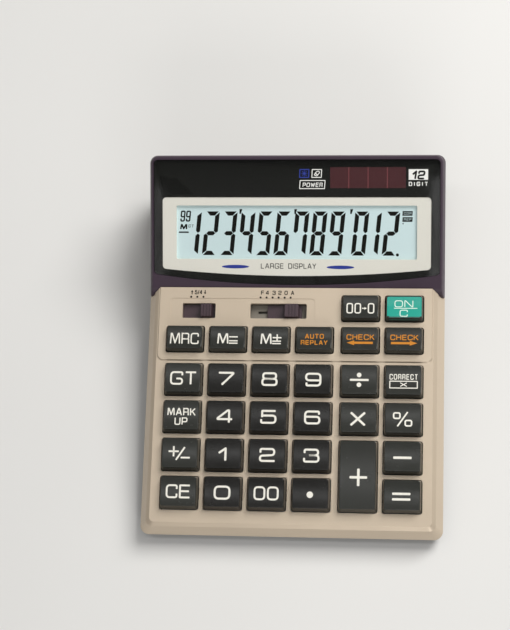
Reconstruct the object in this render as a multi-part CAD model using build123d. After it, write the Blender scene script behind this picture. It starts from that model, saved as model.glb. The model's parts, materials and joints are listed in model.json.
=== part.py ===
from build123d import *
import math
import os

os.makedirs("parts", exist_ok=True)

# Desk calculator with a tilting display. Millimetres, +X right, +Y back, +Z up.
# The origin is the middle of the footprint on the table.
#
# Two working frames carry everything:
#   PANEL: origin on the keypad surface at key row 3, X across, Y up the slope, Z out of the keypad.
#   HEAD:  origin on the display hinge axis, Y along the display face, Z out of the face.

# --- overall ---------------------------------------------------------------------------------
BODY_WIDTH = 155.0          # widest line of the case, at the parting
SLOPE = 6.5                 # keypad slope to the table, degrees
PANEL_ORIGIN_Y = -20.16     # world position of the PANEL origin
PANEL_ORIGIN_Z = 24.0
FRONT_Y = -79.6             # case ends at the parting, in PANEL
REAR_Y = 118.6
PARTING_Z = -8.0            # parting under the keypad, in PANEL
SHOULDER_Z = -1.5           # where the side slope turns into the edge bevel
CASE_WALL = 2.0
BOTTOM_Z = 1.5              # world height of the lower case's underside, above the feet
CORNER_R = 4.6

# --- keypad ----------------------------------------------------------------------------------
COLUMN_PITCH = 22.5
COLUMN_GAP = 1.2            # extra room before the operator columns
ROW_PITCH = 19.65
KEY_WIDTH = 19.75
KEY_DEPTH = 16.9
SHORT_KEY_DEPTH = 13.7
KEY_CORNER_R = 1.1
KEY_HEIGHT = 4.6            # cap top above the keypad
KEY_SKIRT_Z = -0.9          # lower edge of the cap's skirt
KEY_CORE_Z = -3.5           # lower edge of the core and its side tabs
KEY_POST_Z = -4.2           # end of the post that presses the membrane
KEY_TRAVEL = 1.6
KEY_CLEARANCE = 0.35
TAB_REACH = 0.9
PLATEAU_HEIGHT = 0.6        # raised field around the two short-key rows
PLATEAU_FRONT_Y = 10.0
PLATEAU_HALF = 71.6

SHORT_ROW_2 = 21.35
SHORT_ROW_1 = 38.3

# --- membrane and board, heights in PANEL -----------------------------------------------------
SHEET_TOP_Z = -6.6
BOARD_TOP_Z = -7.4
BOARD_BOTTOM_Z = -9.0
BOARD_HALF = 71.0
BOARD_FRONT_Y = -71.0
BOARD_REAR_Y = 43.4
BOARD_SCREW_X = 69.2
BOARD_SCREW_Y = (-48.0, -10.0, 15.0)

# --- hinge and display head --------------------------------------------------------------------
AXIS_Y = 52.0               # hinge axis in PANEL
AXIS_Z = -5.5
HEAD_TILT = 17.1            # display face above the keypad slope as it stands
BARREL_R = 6.0
TROUGH_R = 6.4
TROUGH_WALL = 1.4
LIP_Y = 49.2                # edge of the keypad panel at the trough
HEAD_LENGTH = 68.2
HEAD_REAR_Z = -3.2          # underside of the head at its rear end, in HEAD
EAR_X = 50.0
EAR_WIDTH = 6.0
EAR_R = 3.6
PIN_R = 1.25
PIN_PLAY = 0.05
TILT_SWEEP = 43.0           # head travel the ear slots have to clear, degrees
DECK_GAP = 0.8              # closed head above the rear deck
CABLE_HALF = 8.0

# --- slide switches, in PANEL ------------------------------------------------------------------
ROUNDING_WINDOW = (-59.0, -41.6)
DECIMAL_WINDOW = (-23.3, 6.2)
WINDOW_Y = (32.8, 40.8)
SWITCH_FIELD = (-65.4, 10.4, 31.0, 43.4)
ROUNDING_KNOB_X = -46.3     # knobs stand at the right end of their windows
DECIMAL_KNOB_X = -1.55
ROUNDING_TRAVEL = 6.5       # three positions
DECIMAL_TRAVEL = 16.5       # six positions
SLIDER_TOP_Z = -2.4
SLIDER_BOTTOM_Z = -3.5
KNOB_TOP_Z = 2.6

# --- display stack, heights in HEAD --------------------------------------------------------------
LENS_HALF = 74.8
LENS_TOP_Y = 65.8
LENS_END_Y = 6.2            # ends of the bowed lower edge
LENS_MIDDLE_Y = 0.6
LENS_SEAT_Z = 4.15
MASK_THICKNESS = 0.15
LENS_TOP_Z = 5.9
WINDOW_HALF = 70.3
WINDOW_TOP_Y = 46.3
WINDOW_END_Y = 8.8
WINDOW_MIDDLE_Y = 5.2
LCD_HALF = 63.0             # visible liquid crystal field
LCD_LOW_Y = 14.0
LCD_HIGH_Y = 42.0
SOLAR_X = (17.8, 57.2)
SOLAR_Y = (51.0, 62.0)
SHELF_Z = 2.7               # underside of the bezel's face plate
HEAD_SCREWS = ((-70.4, 56.0), (70.4, 56.0), (-30.0, 0.4), (30.0, 0.4))

# --- battery bay, world heights ------------------------------------------------------------------
CELL_R = 7.15
CELL_LENGTH = 49.3
CELL_Y = 74.6
CELL_Z = 12.3
CELL_X = 2.6                # cell body centre, the spring takes the room on the left
DOOR_HALF = 31.0
DOOR_FRONT_Y = 64.0
DOOR_GAP = 0.3
DOOR_LIP = 1.2

# --- fasteners and feet --------------------------------------------------------------------------
CASE_SCREWS = ((-70.0, -86.0), (70.0, -86.0), (-62.0, 82.0), (62.0, 82.0))
SCREW_R = 1.1
SCREW_HEAD_R = 2.2
FEET = ((-60.0, -84.0), (60.0, -84.0), (-52.0, 88.0), (52.0, 88.0))
FOOT_R = 5.0

PANEL = Pos(0, PANEL_ORIGIN_Y, PANEL_ORIGIN_Z) * Rot(SLOPE, 0, 0)
CLOSED = PANEL * Pos(0, AXIS_Y, AXIS_Z)
HEAD = CLOSED * Rot(HEAD_TILT, 0, 0)


def column_x(column):
    """Centre of a key column, 1 to 6."""
    span = 5 * COLUMN_PITCH + COLUMN_GAP
    return -span / 2 + (column - 1) * COLUMN_PITCH + (COLUMN_GAP if column > 4 else 0)


def row_y(row):
    """Centre of a key row, 1 at the display to 6 at the front."""
    return {1: SHORT_ROW_1, 2: SHORT_ROW_2}.get(row, -(row - 3) * ROW_PITCH)


# name: (column, row); rows 1 and 2 hold the short keys, key_plus covers rows 5 and 6
KEYS = {
    "key_rate_zero": (5, 1), "key_on_clear": (6, 1),
    "key_memory_recall": (1, 2), "key_memory_equals": (2, 2), "key_memory_plus_minus": (3, 2),
    "key_auto_replay": (4, 2), "key_check_back": (5, 2), "key_check_forward": (6, 2),
    "key_grand_total": (1, 3), "key_7": (2, 3), "key_8": (3, 3), "key_9": (4, 3),
    "key_divide": (5, 3), "key_correct": (6, 3),
    "key_mark_up": (1, 4), "key_4": (2, 4), "key_5": (3, 4), "key_6": (4, 4),
    "key_multiply": (5, 4), "key_percent": (6, 4),
    "key_sign": (1, 5), "key_1": (2, 5), "key_2": (3, 5), "key_3": (4, 5),
    "key_plus": (5, 5), "key_minus": (6, 5),
    "key_clear_entry": (1, 6), "key_0": (2, 6), "key_00": (3, 6), "key_point": (4, 6),
    "key_equals": (6, 6),
}


def key_depth(name):
    if name == "key_plus":
        return KEY_DEPTH + ROW_PITCH
    return SHORT_KEY_DEPTH if KEYS[name][1] < 3 else KEY_DEPTH


def key_centre(name):
    column, row = KEYS[name]
    y = row_y(row) - (ROW_PITCH / 2 if name == "key_plus" else 0)
    return column_x(column), y


def rounded(width, depth, radius, x=0.0, y=0.0, z=0.0):
    return Pos(x, y, z) * RectangleRounded(width, depth, radius)


def cylinder(radius, low, high, x=0.0, y=0.0):
    """Upright cylinder between two heights."""
    return Pos(x, y, (low + high) / 2) * Cylinder(radius, high - low)


def block(x0, x1, y0, y1, z0, z1):
    """Box from its six faces."""
    return Pos((x0 + x1) / 2, (y0 + y1) / 2, (z0 + z1) / 2) * Box(x1 - x0, y1 - y0, z1 - z0)


def side_prism(points, half_width):
    """Outline of (y, z) points carried across from -half_width to half_width in x."""
    outline = Plane.YZ * make_face(Polyline([(y, z) for y, z in points], close=True))
    return extrude(outline, half_width, both=True)


def side_disc(radius, half_width, x=0.0):
    """Cylinder lying along X on the frame's origin."""
    return Pos(x, 0, 0) * Rot(0, 90, 0) * Cylinder(radius, 2 * half_width)


def band(sections):
    """Loft through rounded rectangles given as (z, inset, radius), in PANEL."""
    middle = (FRONT_Y + REAR_Y) / 2
    depth = REAR_Y - FRONT_Y
    faces = [
        rounded(BODY_WIDTH - 2 * inset, depth - 2 * inset, radius, y=middle, z=z)
        for z, inset, radius in sections
    ]
    return loft(faces, ruled=True)


def head_room(extra=0.0):
    """Space the head needs above the base, in PANEL: trough, rear deck and all above them."""
    rear_z = AXIS_Z + HEAD_REAR_Z - DECK_GAP - extra
    front_z = AXIS_Z - BARREL_R - DECK_GAP - extra
    trough = Pos(0, AXIS_Y, AXIS_Z) * side_disc(TROUGH_R + extra, 90)
    above = [(AXIS_Y, front_z), (REAR_Y + 20, rear_z), (REAR_Y + 20, 40), (LIP_Y - extra, 40)]
    above += [(LIP_Y - extra, AXIS_Z), (AXIS_Y, AXIS_Z)]
    return trough + side_prism(above, 90)


def case_hull(wall):
    """Outer form of the closed base in PANEL, or its inner form when wall is given."""
    top = -CASE_WALL if wall else 0.0
    lower = band([(-42, 7.6 + wall, 3.0), (PARTING_Z, wall, CORNER_R - wall / 2)])
    side = band([(PARTING_Z, wall, CORNER_R - wall / 2), (SHOULDER_Z - wall, 3.6 + wall, 3.2)])
    edge = band([(SHOULDER_Z - wall, 3.6 + wall, 3.2), (top - 0.001, 5.6 + wall / 2, 2.6)])
    hull = lower + side + edge
    return hull - head_room(TROUGH_WALL if wall else 0.0)


def above_parting():
    """Everything above the stepped parting surface, in PANEL."""
    line = [(-120, PARTING_Z), (38, PARTING_Z), (44, -15.5), (160, -13.4), (160, 60), (-120, 60)]
    return side_prism(line, 95)


def plateau():
    foot = Pos(0, 0, -0.5) * plateau_face(0)
    return extrude(foot, 0.5) + loft([plateau_face(0), Pos(0, 0, PLATEAU_HEIGHT) * plateau_face(0.6)])


def plateau_face(inset):
    rear = LIP_Y + 12
    depth = rear - PLATEAU_FRONT_Y
    return rounded(2 * (PLATEAU_HALF - inset), depth - 2 * inset, 3.0, y=rear - depth / 2)


def key_openings():
    cuts = []
    for name in KEYS:
        x, y = key_centre(name)
        width = KEY_WIDTH + 2 * KEY_CLEARANCE
        depth = key_depth(name) + 2 * KEY_CLEARANCE
        cuts.append(extrude(rounded(width, depth, KEY_CORNER_R + 0.3, x, y, -2.9), 6))
    return cuts


def switch_window(span):
    x0, x1 = span
    y0, y1 = WINDOW_Y
    return extrude(rounded(x1 - x0, y1 - y0, 0.8, (x0 + x1) / 2, (y0 + y1) / 2, -4), 8)


def switch_field():
    """Shallow sunk frame round both switch windows."""
    x0, x1, y0, y1 = SWITCH_FIELD
    face = rounded(x1 - x0, y1 - y0, 2.0, (x0 + x1) / 2, (y0 + y1) / 2, PLATEAU_HEIGHT - 0.25)
    return extrude(face, 2)


def ear(x):
    """Hinge ear standing in the trough, in PANEL."""
    disc = side_disc(EAR_R, EAR_WIDTH / 2)
    stalk = block(-EAR_WIDTH / 2, EAR_WIDTH / 2, -2.4, 2.4, -(TROUGH_R + 0.6), 0)
    bore = side_disc(PIN_R + PIN_PLAY, EAR_WIDTH)
    return Pos(x, AXIS_Y, AXIS_Z) * (disc + stalk - bore)


def cable_slot():
    """Gap in the rear deck that lets the display cable up into the head, in PANEL."""
    return block(-CABLE_HALF - 1, CABLE_HALF + 1, 60, 66, -20, 0)


OUTER = case_hull(0)
INNER = case_hull(CASE_WALL)
ABOVE = above_parting()


def screw_split(y):
    """World height where a case boss meets its post."""
    return 8.6 if y < 0 else 14.0


def upper_case():
    shell = (OUTER & ABOVE) - INNER + (plateau() - head_room())
    windows = [switch_window(ROUNDING_WINDOW), switch_window(DECIMAL_WINDOW)]
    shell = shell.cut(*key_openings(), switch_field(), *windows, cable_slot())
    shell += ear(-EAR_X) + ear(EAR_X)
    for side in (-1, 1):
        for y in BOARD_SCREW_Y:
            boss = cylinder(1.6, BOARD_TOP_Z, -CASE_WALL + 0.2, side * BOARD_SCREW_X, y)
            shell += boss - cylinder(0.8, BOARD_TOP_Z, -3.4, side * BOARD_SCREW_X, y)
    placed = PANEL * shell
    inside = PANEL * (OUTER & ABOVE)
    for x, y in CASE_SCREWS:
        split = screw_split(y)
        placed += cylinder(2.6, split, 60, x, y) & inside
        placed -= cylinder(SCREW_R, split, split + 4.5, x, y)
    return placed


def lower_case():
    hull = (PANEL * (OUTER - ABOVE)) & block(-90, 90, -130, 130, BOTTOM_Z, 60)
    room = (PANEL * INNER) & block(-90, 90, -130, 130, BOTTOM_Z + CASE_WALL, 60)
    case = hull - room + battery_bay()
    for x, y in CASE_SCREWS:
        case += cylinder(3.4, BOTTOM_Z, screw_split(y), x, y)
    for x, y in CASE_SCREWS:
        case -= cylinder(SCREW_R + 0.15, 0, 40, x, y)
        case -= cylinder(SCREW_HEAD_R + 0.3, 0, BOTTOM_Z + 2.2, x, y)
    for x, y in FEET:
        case -= cylinder(FOOT_R + 0.1, 0, BOTTOM_Z + 0.6, x, y)
    return case - door_form(DOOR_GAP, 120)


def battery_bay():
    """Walls of the battery compartment, standing on the floor of the lower case."""
    floor = BOTTOM_Z + CASE_WALL - 0.5
    y0, y1 = CELL_Y - 9.6, CELL_Y + 9.6
    walls = block(-34.6, 34.6, y0, y0 + 1.4, floor, 17) + block(-34.6, 34.6, y1 - 1.4, y1, floor, 17)
    for side in (-1, 1):
        near, far = sorted((side * 33.0, side * 34.6))
        walls += block(near, far, y0, y1, floor, 17)
        near, far = sorted((side * 30.4, side * 34.0))
        walls += block(near, far, y0, y1, BOTTOM_Z + 3, 17)
    return walls


def door_form(grow, rear):
    """Sliding battery door: plate flush with the underside and a wider lip inside the case."""
    half = DOOR_HALF + grow
    front = DOOR_FRONT_Y - grow
    plate = block(-half, half, front, rear, BOTTOM_Z - grow, BOTTOM_Z + 2.0)
    half = DOOR_HALF + DOOR_LIP + grow
    return plate + block(-half, half, front, rear, BOTTOM_Z + 1.2 - grow, BOTTOM_Z + 3.0 + grow)


def battery_door():
    door = door_form(0, 120) & (PANEL * OUTER)
    ridges = [block(-9, 9, 84 + 1.8 * step, 84.8 + 1.8 * step, 0, BOTTOM_Z + 0.5) for step in range(5)]
    return door.cut(*ridges)


def battery_cell():
    can = Pos(CELL_X, CELL_Y, CELL_Z) * side_disc(CELL_R, CELL_LENGTH / 2)
    can = fillet(can.edges(), 0.6)
    nub = Pos(CELL_X + CELL_LENGTH / 2 + 0.5, CELL_Y, CELL_Z) * side_disc(2.7, 0.6)
    return can + nub


def spring_contact():
    """Plate and conical coil at the negative end."""
    plate = block(-30.35, -29.95, CELL_Y - 6, CELL_Y + 6, CELL_Z - 5.5, 18)
    low = CELL_X - CELL_LENGTH / 2
    path = Helix(pitch=1.75, height=low + 29.2, radius=4.4, cone_angle=-12)
    wire = sweep(Plane(origin=path @ 0, z_dir=path % 0) * Circle(0.35), path=path, is_frenet=True)
    return plate + Pos(-29.65, CELL_Y, CELL_Z) * Rot(0, 90, 0) * wire


def flat_contact():
    face_x = CELL_X + CELL_LENGTH / 2 + 1.1
    plate = block(face_x, face_x + 0.4, CELL_Y - 6, CELL_Y + 6, CELL_Z - 5.5, 18)
    foot = block(face_x, 30.35, CELL_Y - 6, CELL_Y + 6, 17.6, 18)
    return plate + foot


def rubber_feet():
    feet = []
    for x, y in FEET:
        foot = cylinder(FOOT_R, 0, BOTTOM_Z + 0.6, x, y)
        feet.append(fillet(foot.edges().sort_by(Axis.Z)[0], 0.5))
    return Compound(children=feet)


def screw(radius, head_radius, head_height, length):
    """Pan-head screw pointing up, its seat on z = 0, with a cross recess."""
    head = fillet(cylinder(head_radius, -head_height, 0).edges().sort_by(Axis.Z)[0], head_height * 0.45)
    cross = block(-0.25, 0.25, -head_radius * 0.6, head_radius * 0.6, -head_height, -head_height * 0.45)
    return head + cylinder(radius, -0.1, length) - cross - Rot(0, 0, 90) * cross


def case_screws():
    screws = []
    for x, y in CASE_SCREWS:
        form = screw(SCREW_R, SCREW_HEAD_R, 1.6, screw_split(y) + 4.0 - BOTTOM_Z - 2.2)
        screws.append(Pos(x, y, BOTTOM_Z + 2.2) * form)
    return Compound(children=screws)


def board_screws():
    form = screw(0.8, 1.7, 1.1, 4.8)
    spots = [(side * BOARD_SCREW_X, y) for side in (-1, 1) for y in BOARD_SCREW_Y]
    return Compound(children=[PANEL * Pos(x, y, BOARD_BOTTOM_Z) * form for x, y in spots])


def key(name):
    """Key cap with its skirt, core, side tabs and post, at its place on the keypad."""
    depth = key_depth(name)
    lean = 0.35
    top = rounded(KEY_WIDTH - 1.75, depth - 1.95, KEY_CORNER_R, y=lean, z=KEY_HEIGHT)
    cap = loft([rounded(KEY_WIDTH, depth, KEY_CORNER_R, z=0.3), top], ruled=True)
    dip = 0.5 if depth < 30 else 0.9
    reach = (depth - 1.95) / 2
    dish_r = (reach ** 2 + dip ** 2) / (2 * dip)
    cap -= Pos(0, lean, KEY_HEIGHT + dish_r - dip) * side_disc(dish_r, KEY_WIDTH)
    rim = [edge for edge in cap.edges() if edge.center().Z > KEY_HEIGHT - dip - 0.2]
    cap = fillet(rim, 0.45)
    cap += extrude(rounded(KEY_WIDTH, depth, KEY_CORNER_R, z=KEY_SKIRT_Z), 0.3 - KEY_SKIRT_Z)
    cap += extrude(rounded(KEY_WIDTH - 3.2, depth - 3.2, 0.8, z=KEY_CORE_Z), -KEY_CORE_Z)
    reach = KEY_WIDTH / 2 + TAB_REACH
    cap += block(-reach, reach, -3, 3, KEY_CORE_Z, KEY_CORE_Z + 1)
    cap += cylinder(2.4, KEY_POST_Z, KEY_CORE_Z + 0.5)
    x, y = key_centre(name)
    return PANEL * Pos(x, y, 0) * cap


def dome_shell(x, y):
    height = KEY_POST_Z - SHEET_TOP_Z
    middle = (KEY_POST_Z + SHEET_TOP_Z) / 2
    return Pos(x, y, middle) * Cone(4.2, 2.7, height)


def dome_hollow(x, y):
    low, high = BOARD_TOP_Z, KEY_POST_Z - 0.5
    return Pos(x, y, (low + high) / 2) * Cone(4.0, 2.2, high - low)


def keypad_membrane():
    """Rubber sheet with one hollow dome and one contact pill under every key."""
    half = 66.4
    sheet = block(-half, half, -69.5, 29.6, BOARD_TOP_Z, SHEET_TOP_Z)
    sheet += block(23, half, 29, 43.2, BOARD_TOP_Z, SHEET_TOP_Z)
    spots = [key_centre(name) for name in KEYS]
    sheet = sheet.fuse(*[dome_shell(x, y) for x, y in spots])
    sheet = sheet.cut(*[dome_hollow(x, y) for x, y in spots])
    pills = [cylinder(1.6, KEY_POST_Z - 1.3, KEY_POST_Z - 0.4, x, y) for x, y in spots]
    return PANEL * sheet.fuse(*pills)


def main_board():
    board = block(-BOARD_HALF, BOARD_HALF, BOARD_FRONT_Y, BOARD_REAR_Y, BOARD_BOTTOM_Z, BOARD_TOP_Z)
    holes = [
        cylinder(0.9, -10, -7, side * BOARD_SCREW_X, y) for side in (-1, 1) for y in BOARD_SCREW_Y
    ]
    board = PANEL * board.cut(*holes)
    for x, y in CASE_SCREWS[:2]:
        board -= cylinder(3.8, 0, 20, x, y)
    return board


def chip_blob():
    blob = cylinder(6.0, BOARD_BOTTOM_Z - 1.5, BOARD_BOTTOM_Z, -12, -20)
    return PANEL * fillet(blob.edges().sort_by(Axis.Z)[0], 1.2)


def switch_housing(window, knob_x, travel):
    """Block filling the view through a window, slotted for the slider's stem."""
    y = sum(WINDOW_Y) / 2
    half = (WINDOW_Y[1] - WINDOW_Y[0]) / 2 + 0.3
    body = block(window[0] - 0.3, window[1] + 0.3, y - half, y + half, BOARD_TOP_Z, SLIDER_BOTTOM_Z - 0.4)
    return body - block(knob_x - travel - 1.4, knob_x + 1.4, y - 0.7, y + 0.7, -6.1, 0)


def switch_housings():
    pair = [switch_housing(ROUNDING_WINDOW, ROUNDING_KNOB_X, ROUNDING_TRAVEL)]
    pair.append(switch_housing(DECIMAL_WINDOW, DECIMAL_KNOB_X, DECIMAL_TRAVEL))
    return PANEL * Compound(children=pair)


def switch_knob(x, half, tail):
    """Slider plate under the panel, its stem in the housing and the ribbed knob above."""
    y = sum(WINDOW_Y) / 2
    plate = block(-tail, half + 1.2, y - 3.6, y + 3.6, SLIDER_BOTTOM_Z, SLIDER_TOP_Z)
    foot = rounded(2 * half, 7.2, 0.6, 0, y, SLIDER_TOP_Z - 0.2)
    top = rounded(2 * half - 0.8, 6.6, 0.5, 0, y, KNOB_TOP_Z)
    knob = loft([foot, top], ruled=True)
    grooves = []
    for step in (-1.6, 0, 1.6):
        grooves.append(block(step - 0.35, step + 0.35, y - 5, y + 5, KNOB_TOP_Z - 0.5, KNOB_TOP_Z + 1))
    stem = block(-1.0, 1.0, y - 0.4, y + 0.4, -5.8, SLIDER_BOTTOM_Z + 0.2)
    return PANEL * Pos(x, 0, 0) * (plate + knob.cut(*grooves) + stem)


def segment_strip(start, end, thickness, half_width):
    """Flat strip between two (y, z) points of a frame."""
    dy, dz = end[0] - start[0], end[1] - start[1]
    length = math.hypot(dy, dz)
    bar = Box(2 * half_width, length + thickness, thickness)
    middle = Pos(0, (start[0] + end[0]) / 2, (start[1] + end[1]) / 2)
    return middle * Rot(math.degrees(math.atan2(dz, dy)), 0, 0) * bar


def display_ribbon():
    """Flat cable from the main board, under the trough and up into the head."""
    angle = math.radians(HEAD_TILT)
    y, z = 9.8, -2.1
    top_end = (
        AXIS_Y + y * math.cos(angle) - z * math.sin(angle),
        AXIS_Z + y * math.sin(angle) + z * math.cos(angle),
    )
    path = [(34, -9.2), (40, -9.2), (50, -15.2), (60, -15.2), (63, -12.0), top_end]
    strips = [segment_strip(a, b, 0.3, CABLE_HALF) for a, b in zip(path, path[1:])]
    return PANEL * strips[0].fuse(*strips[1:])


def head_plan():
    """Plan form of the head, widest at mid height, in HEAD."""
    front = -20.0
    levels = (
        (-6.6, 75.6, 67.2, 3.2),
        (0, 77.5, 68.2, 4.2),
        (5, 76.3, 67.7, 4.0),
        (6.01, 75.6, 67.0, 3.6),
    )
    faces = []
    for z, half, rear, radius in levels:
        depth = rear - front
        faces.append(rounded(2 * half, depth, radius, y=rear - depth / 2, z=z))
    return loft(faces, ruled=True)


def head_outer():
    slab = [(0, BARREL_R), (HEAD_LENGTH + 1, BARREL_R), (HEAD_LENGTH + 1, HEAD_REAR_Z), (66, HEAD_REAR_Z)]
    slab += [(0, -BARREL_R)]
    return (side_prism(slab, 80) + side_disc(BARREL_R, 80)) & head_plan()


def head_cavity():
    room = [(-3.4, SHELF_Z), (66.0, SHELF_Z), (66.0, -1.3), (0, -4.2), (-3.2, -3.0)]
    cavity = side_prism(room, 74.0)
    for side in (-1, 1):
        knuckle = side_disc(BARREL_R, 8.0, side * EAR_X) & block(-80, 80, -8, 8, -8, 2.6)
        cavity -= knuckle
    for x, y in HEAD_SCREWS:
        cavity -= cylinder(2.3, -8, 8, x, y)
    return cavity


def ear_slots():
    """Room in the barrel for both ears through the whole tilt, with the pin bores."""
    cut = side_disc(PIN_R, 8.2, -EAR_X) + side_disc(PIN_R, 8.2, EAR_X)
    half = EAR_WIDTH / 2 + 0.4
    far = 9.0
    for x in (-EAR_X, EAR_X):
        cut += side_disc(EAR_R + 0.5, half, x)
        for step in range(5):
            turn = -TILT_SWEEP * step / 4
            cut += Pos(x, 0, 0) * Rot(turn, 0, 0) * block(-half, half, -3.0, 3.0, -far, 0)
    return cut


def bowed_outline(half, low_end, low_middle, high, radius, z):
    """Outline with straight sides and top and a lower edge bowed towards the front."""
    sides = Polyline((-half, low_end, z), (-half, high, z), (half, high, z), (half, low_end, z))
    bow = ThreePointArc((half, low_end, z), (0, low_middle, z), (-half, low_end, z))
    face = make_face([sides, bow])
    return fillet(face.vertices(), radius)


def lens_outline(inset, z):
    return bowed_outline(
        LENS_HALF - inset, LENS_END_Y + inset, LENS_MIDDLE_Y + inset, LENS_TOP_Y - inset, 2.2, z
    )


def window_outline(grow, z):
    return bowed_outline(
        WINDOW_HALF + grow, WINDOW_END_Y - grow, WINDOW_MIDDLE_Y - grow, WINDOW_TOP_Y + grow, 2.0, z
    )


def solar_face(grow, z):
    x0, x1 = SOLAR_X
    y0, y1 = SOLAR_Y
    return rounded(x1 - x0 + 2 * grow, y1 - y0 + 2 * grow, 0.5, (x0 + x1) / 2, (y0 + y1) / 2, z)


HEAD_OUTER = head_outer()
HEAD_CAVITY = head_cavity()
EAR_SLOTS = ear_slots()
FACE_SIDE = block(-90, 90, -30, 90, 0, 30)


def head_bezel():
    bezel = (HEAD_OUTER & FACE_SIDE) - HEAD_CAVITY - EAR_SLOTS
    bezel -= extrude(lens_outline(-0.15, LENS_SEAT_Z), 5)
    bezel -= extrude(window_outline(0.9, SHELF_Z - 0.5), 4)
    bezel -= extrude(solar_face(0.5, SHELF_Z - 0.5), 4)
    for x, y in HEAD_SCREWS:
        bezel -= cylinder(0.9, -1, 2.4, x, y)
    return HEAD * bezel


def head_rear_cover():
    cover = HEAD_OUTER - FACE_SIDE - HEAD_CAVITY - EAR_SLOTS
    cover -= block(-CABLE_HALF - 1, CABLE_HALF + 1, 8.2, 11.4, -7, -3)
    for x, y in HEAD_SCREWS:
        cover -= cylinder(1.1, -8, 0.1, x, y) + cylinder(2.0, -8, head_screw_seat(y), x, y)
    return HEAD * cover


def head_screw_seat(y):
    """Height of the screw head's seat inside the rear cover."""
    return -BARREL_R + (BARREL_R + HEAD_REAR_Z) * y / 66 + 1.5


def head_screws():
    form = []
    for x, y in HEAD_SCREWS:
        seat = head_screw_seat(y)
        form.append(HEAD * Pos(x, y, seat) * screw(0.9, 1.8, 1.1, 2.0 - seat))
    return Compound(children=form)


def hinge_pins():
    pins = [side_disc(PIN_R, 7.5, x) for x in (-EAR_X, EAR_X)]
    return HEAD * Compound(children=pins)


def display_lens():
    low = LENS_SEAT_Z + MASK_THICKNESS
    return HEAD * extrude(lens_outline(0, low), LENS_TOP_Z - low)


def lens_mask():
    """Dark printed film behind the lens, open over the display frame and the solar cell."""
    film = extrude(lens_outline(0, LENS_SEAT_Z), MASK_THICKNESS)
    film -= extrude(window_outline(0, LENS_SEAT_Z - 0.1), 1)
    film -= extrude(solar_face(0, LENS_SEAT_Z - 0.1), 1)
    return HEAD * film


def lcd_face(grow, z, radius=0.8):
    middle = (LCD_LOW_Y + LCD_HIGH_Y) / 2
    return rounded(2 * (LCD_HALF + grow), LCD_HIGH_Y - LCD_LOW_Y + 2 * grow, radius, y=middle, z=z)


def lcd_frame():
    frame = extrude(window_outline(0.6, 2.95), 1.15)
    return HEAD * (frame - extrude(lcd_face(0, 2), 4))


def lcd_glass():
    return HEAD * extrude(lcd_face(1.6, 0.9, 0.3), 1.95)


def connector_strips():
    strips = [block(-62, 62, y - 0.9, y + 0.9, -0.7, 0.9) for y in (LCD_LOW_Y, LCD_HIGH_Y)]
    return HEAD * Compound(children=strips)


def display_board():
    return HEAD * block(-66, 66, 8, 46.5, -1.8, -0.7)


def solar_cell():
    return HEAD * extrude(solar_face(0.3, 3.0), 1.1)


PARTS = {
    "upper_case": upper_case,
    "lower_case": lower_case,
    "keypad_membrane": keypad_membrane,
    "main_board": main_board,
    "chip_blob": chip_blob,
    "switch_housings": switch_housings,
    "rounding_switch_knob": lambda: switch_knob(ROUNDING_KNOB_X, 3.1, 12.8),
    "decimal_switch_knob": lambda: switch_knob(DECIMAL_KNOB_X, 3.9, 12.9),
    "battery_cell": battery_cell,
    "battery_spring_contact": spring_contact,
    "battery_flat_contact": flat_contact,
    "battery_door": battery_door,
    "rubber_feet": rubber_feet,
    "case_screws": case_screws,
    "board_screws": board_screws,
    "display_ribbon": display_ribbon,
    "hinge_pins": hinge_pins,
    "head_bezel": head_bezel,
    "head_rear_cover": head_rear_cover,
    "head_screws": head_screws,
    "display_lens": display_lens,
    "lens_mask": lens_mask,
    "lcd_frame": lcd_frame,
    "lcd_glass": lcd_glass,
    "connector_strips": connector_strips,
    "display_board": display_board,
    "solar_cell": solar_cell,
}

for node, build in PARTS.items():
    export_step(build(), f"parts/{node}.step")
for node in KEYS:
    export_step(key(node), f"parts/{node}.step")
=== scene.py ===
import json
import math

import bmesh
import bpy
from mathutils import Matrix, Vector
from mathutils.bvhtree import BVHTree


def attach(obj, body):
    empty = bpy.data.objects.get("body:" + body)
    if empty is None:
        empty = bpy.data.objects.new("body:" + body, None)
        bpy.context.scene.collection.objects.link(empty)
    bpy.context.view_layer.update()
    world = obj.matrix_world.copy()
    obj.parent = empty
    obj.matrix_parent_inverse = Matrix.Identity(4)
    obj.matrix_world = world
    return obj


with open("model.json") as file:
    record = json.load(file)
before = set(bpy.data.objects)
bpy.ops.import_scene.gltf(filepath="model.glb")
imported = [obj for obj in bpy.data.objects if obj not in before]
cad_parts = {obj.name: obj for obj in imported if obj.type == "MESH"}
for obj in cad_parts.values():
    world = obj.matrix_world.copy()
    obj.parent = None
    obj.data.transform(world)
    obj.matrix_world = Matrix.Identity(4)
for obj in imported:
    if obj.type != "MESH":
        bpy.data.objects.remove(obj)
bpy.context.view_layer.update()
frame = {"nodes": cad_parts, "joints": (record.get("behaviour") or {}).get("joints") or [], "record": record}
nodes = frame["nodes"]
joints = {joint["name"]: joint for joint in frame["joints"]}
MM = 0.001

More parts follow.
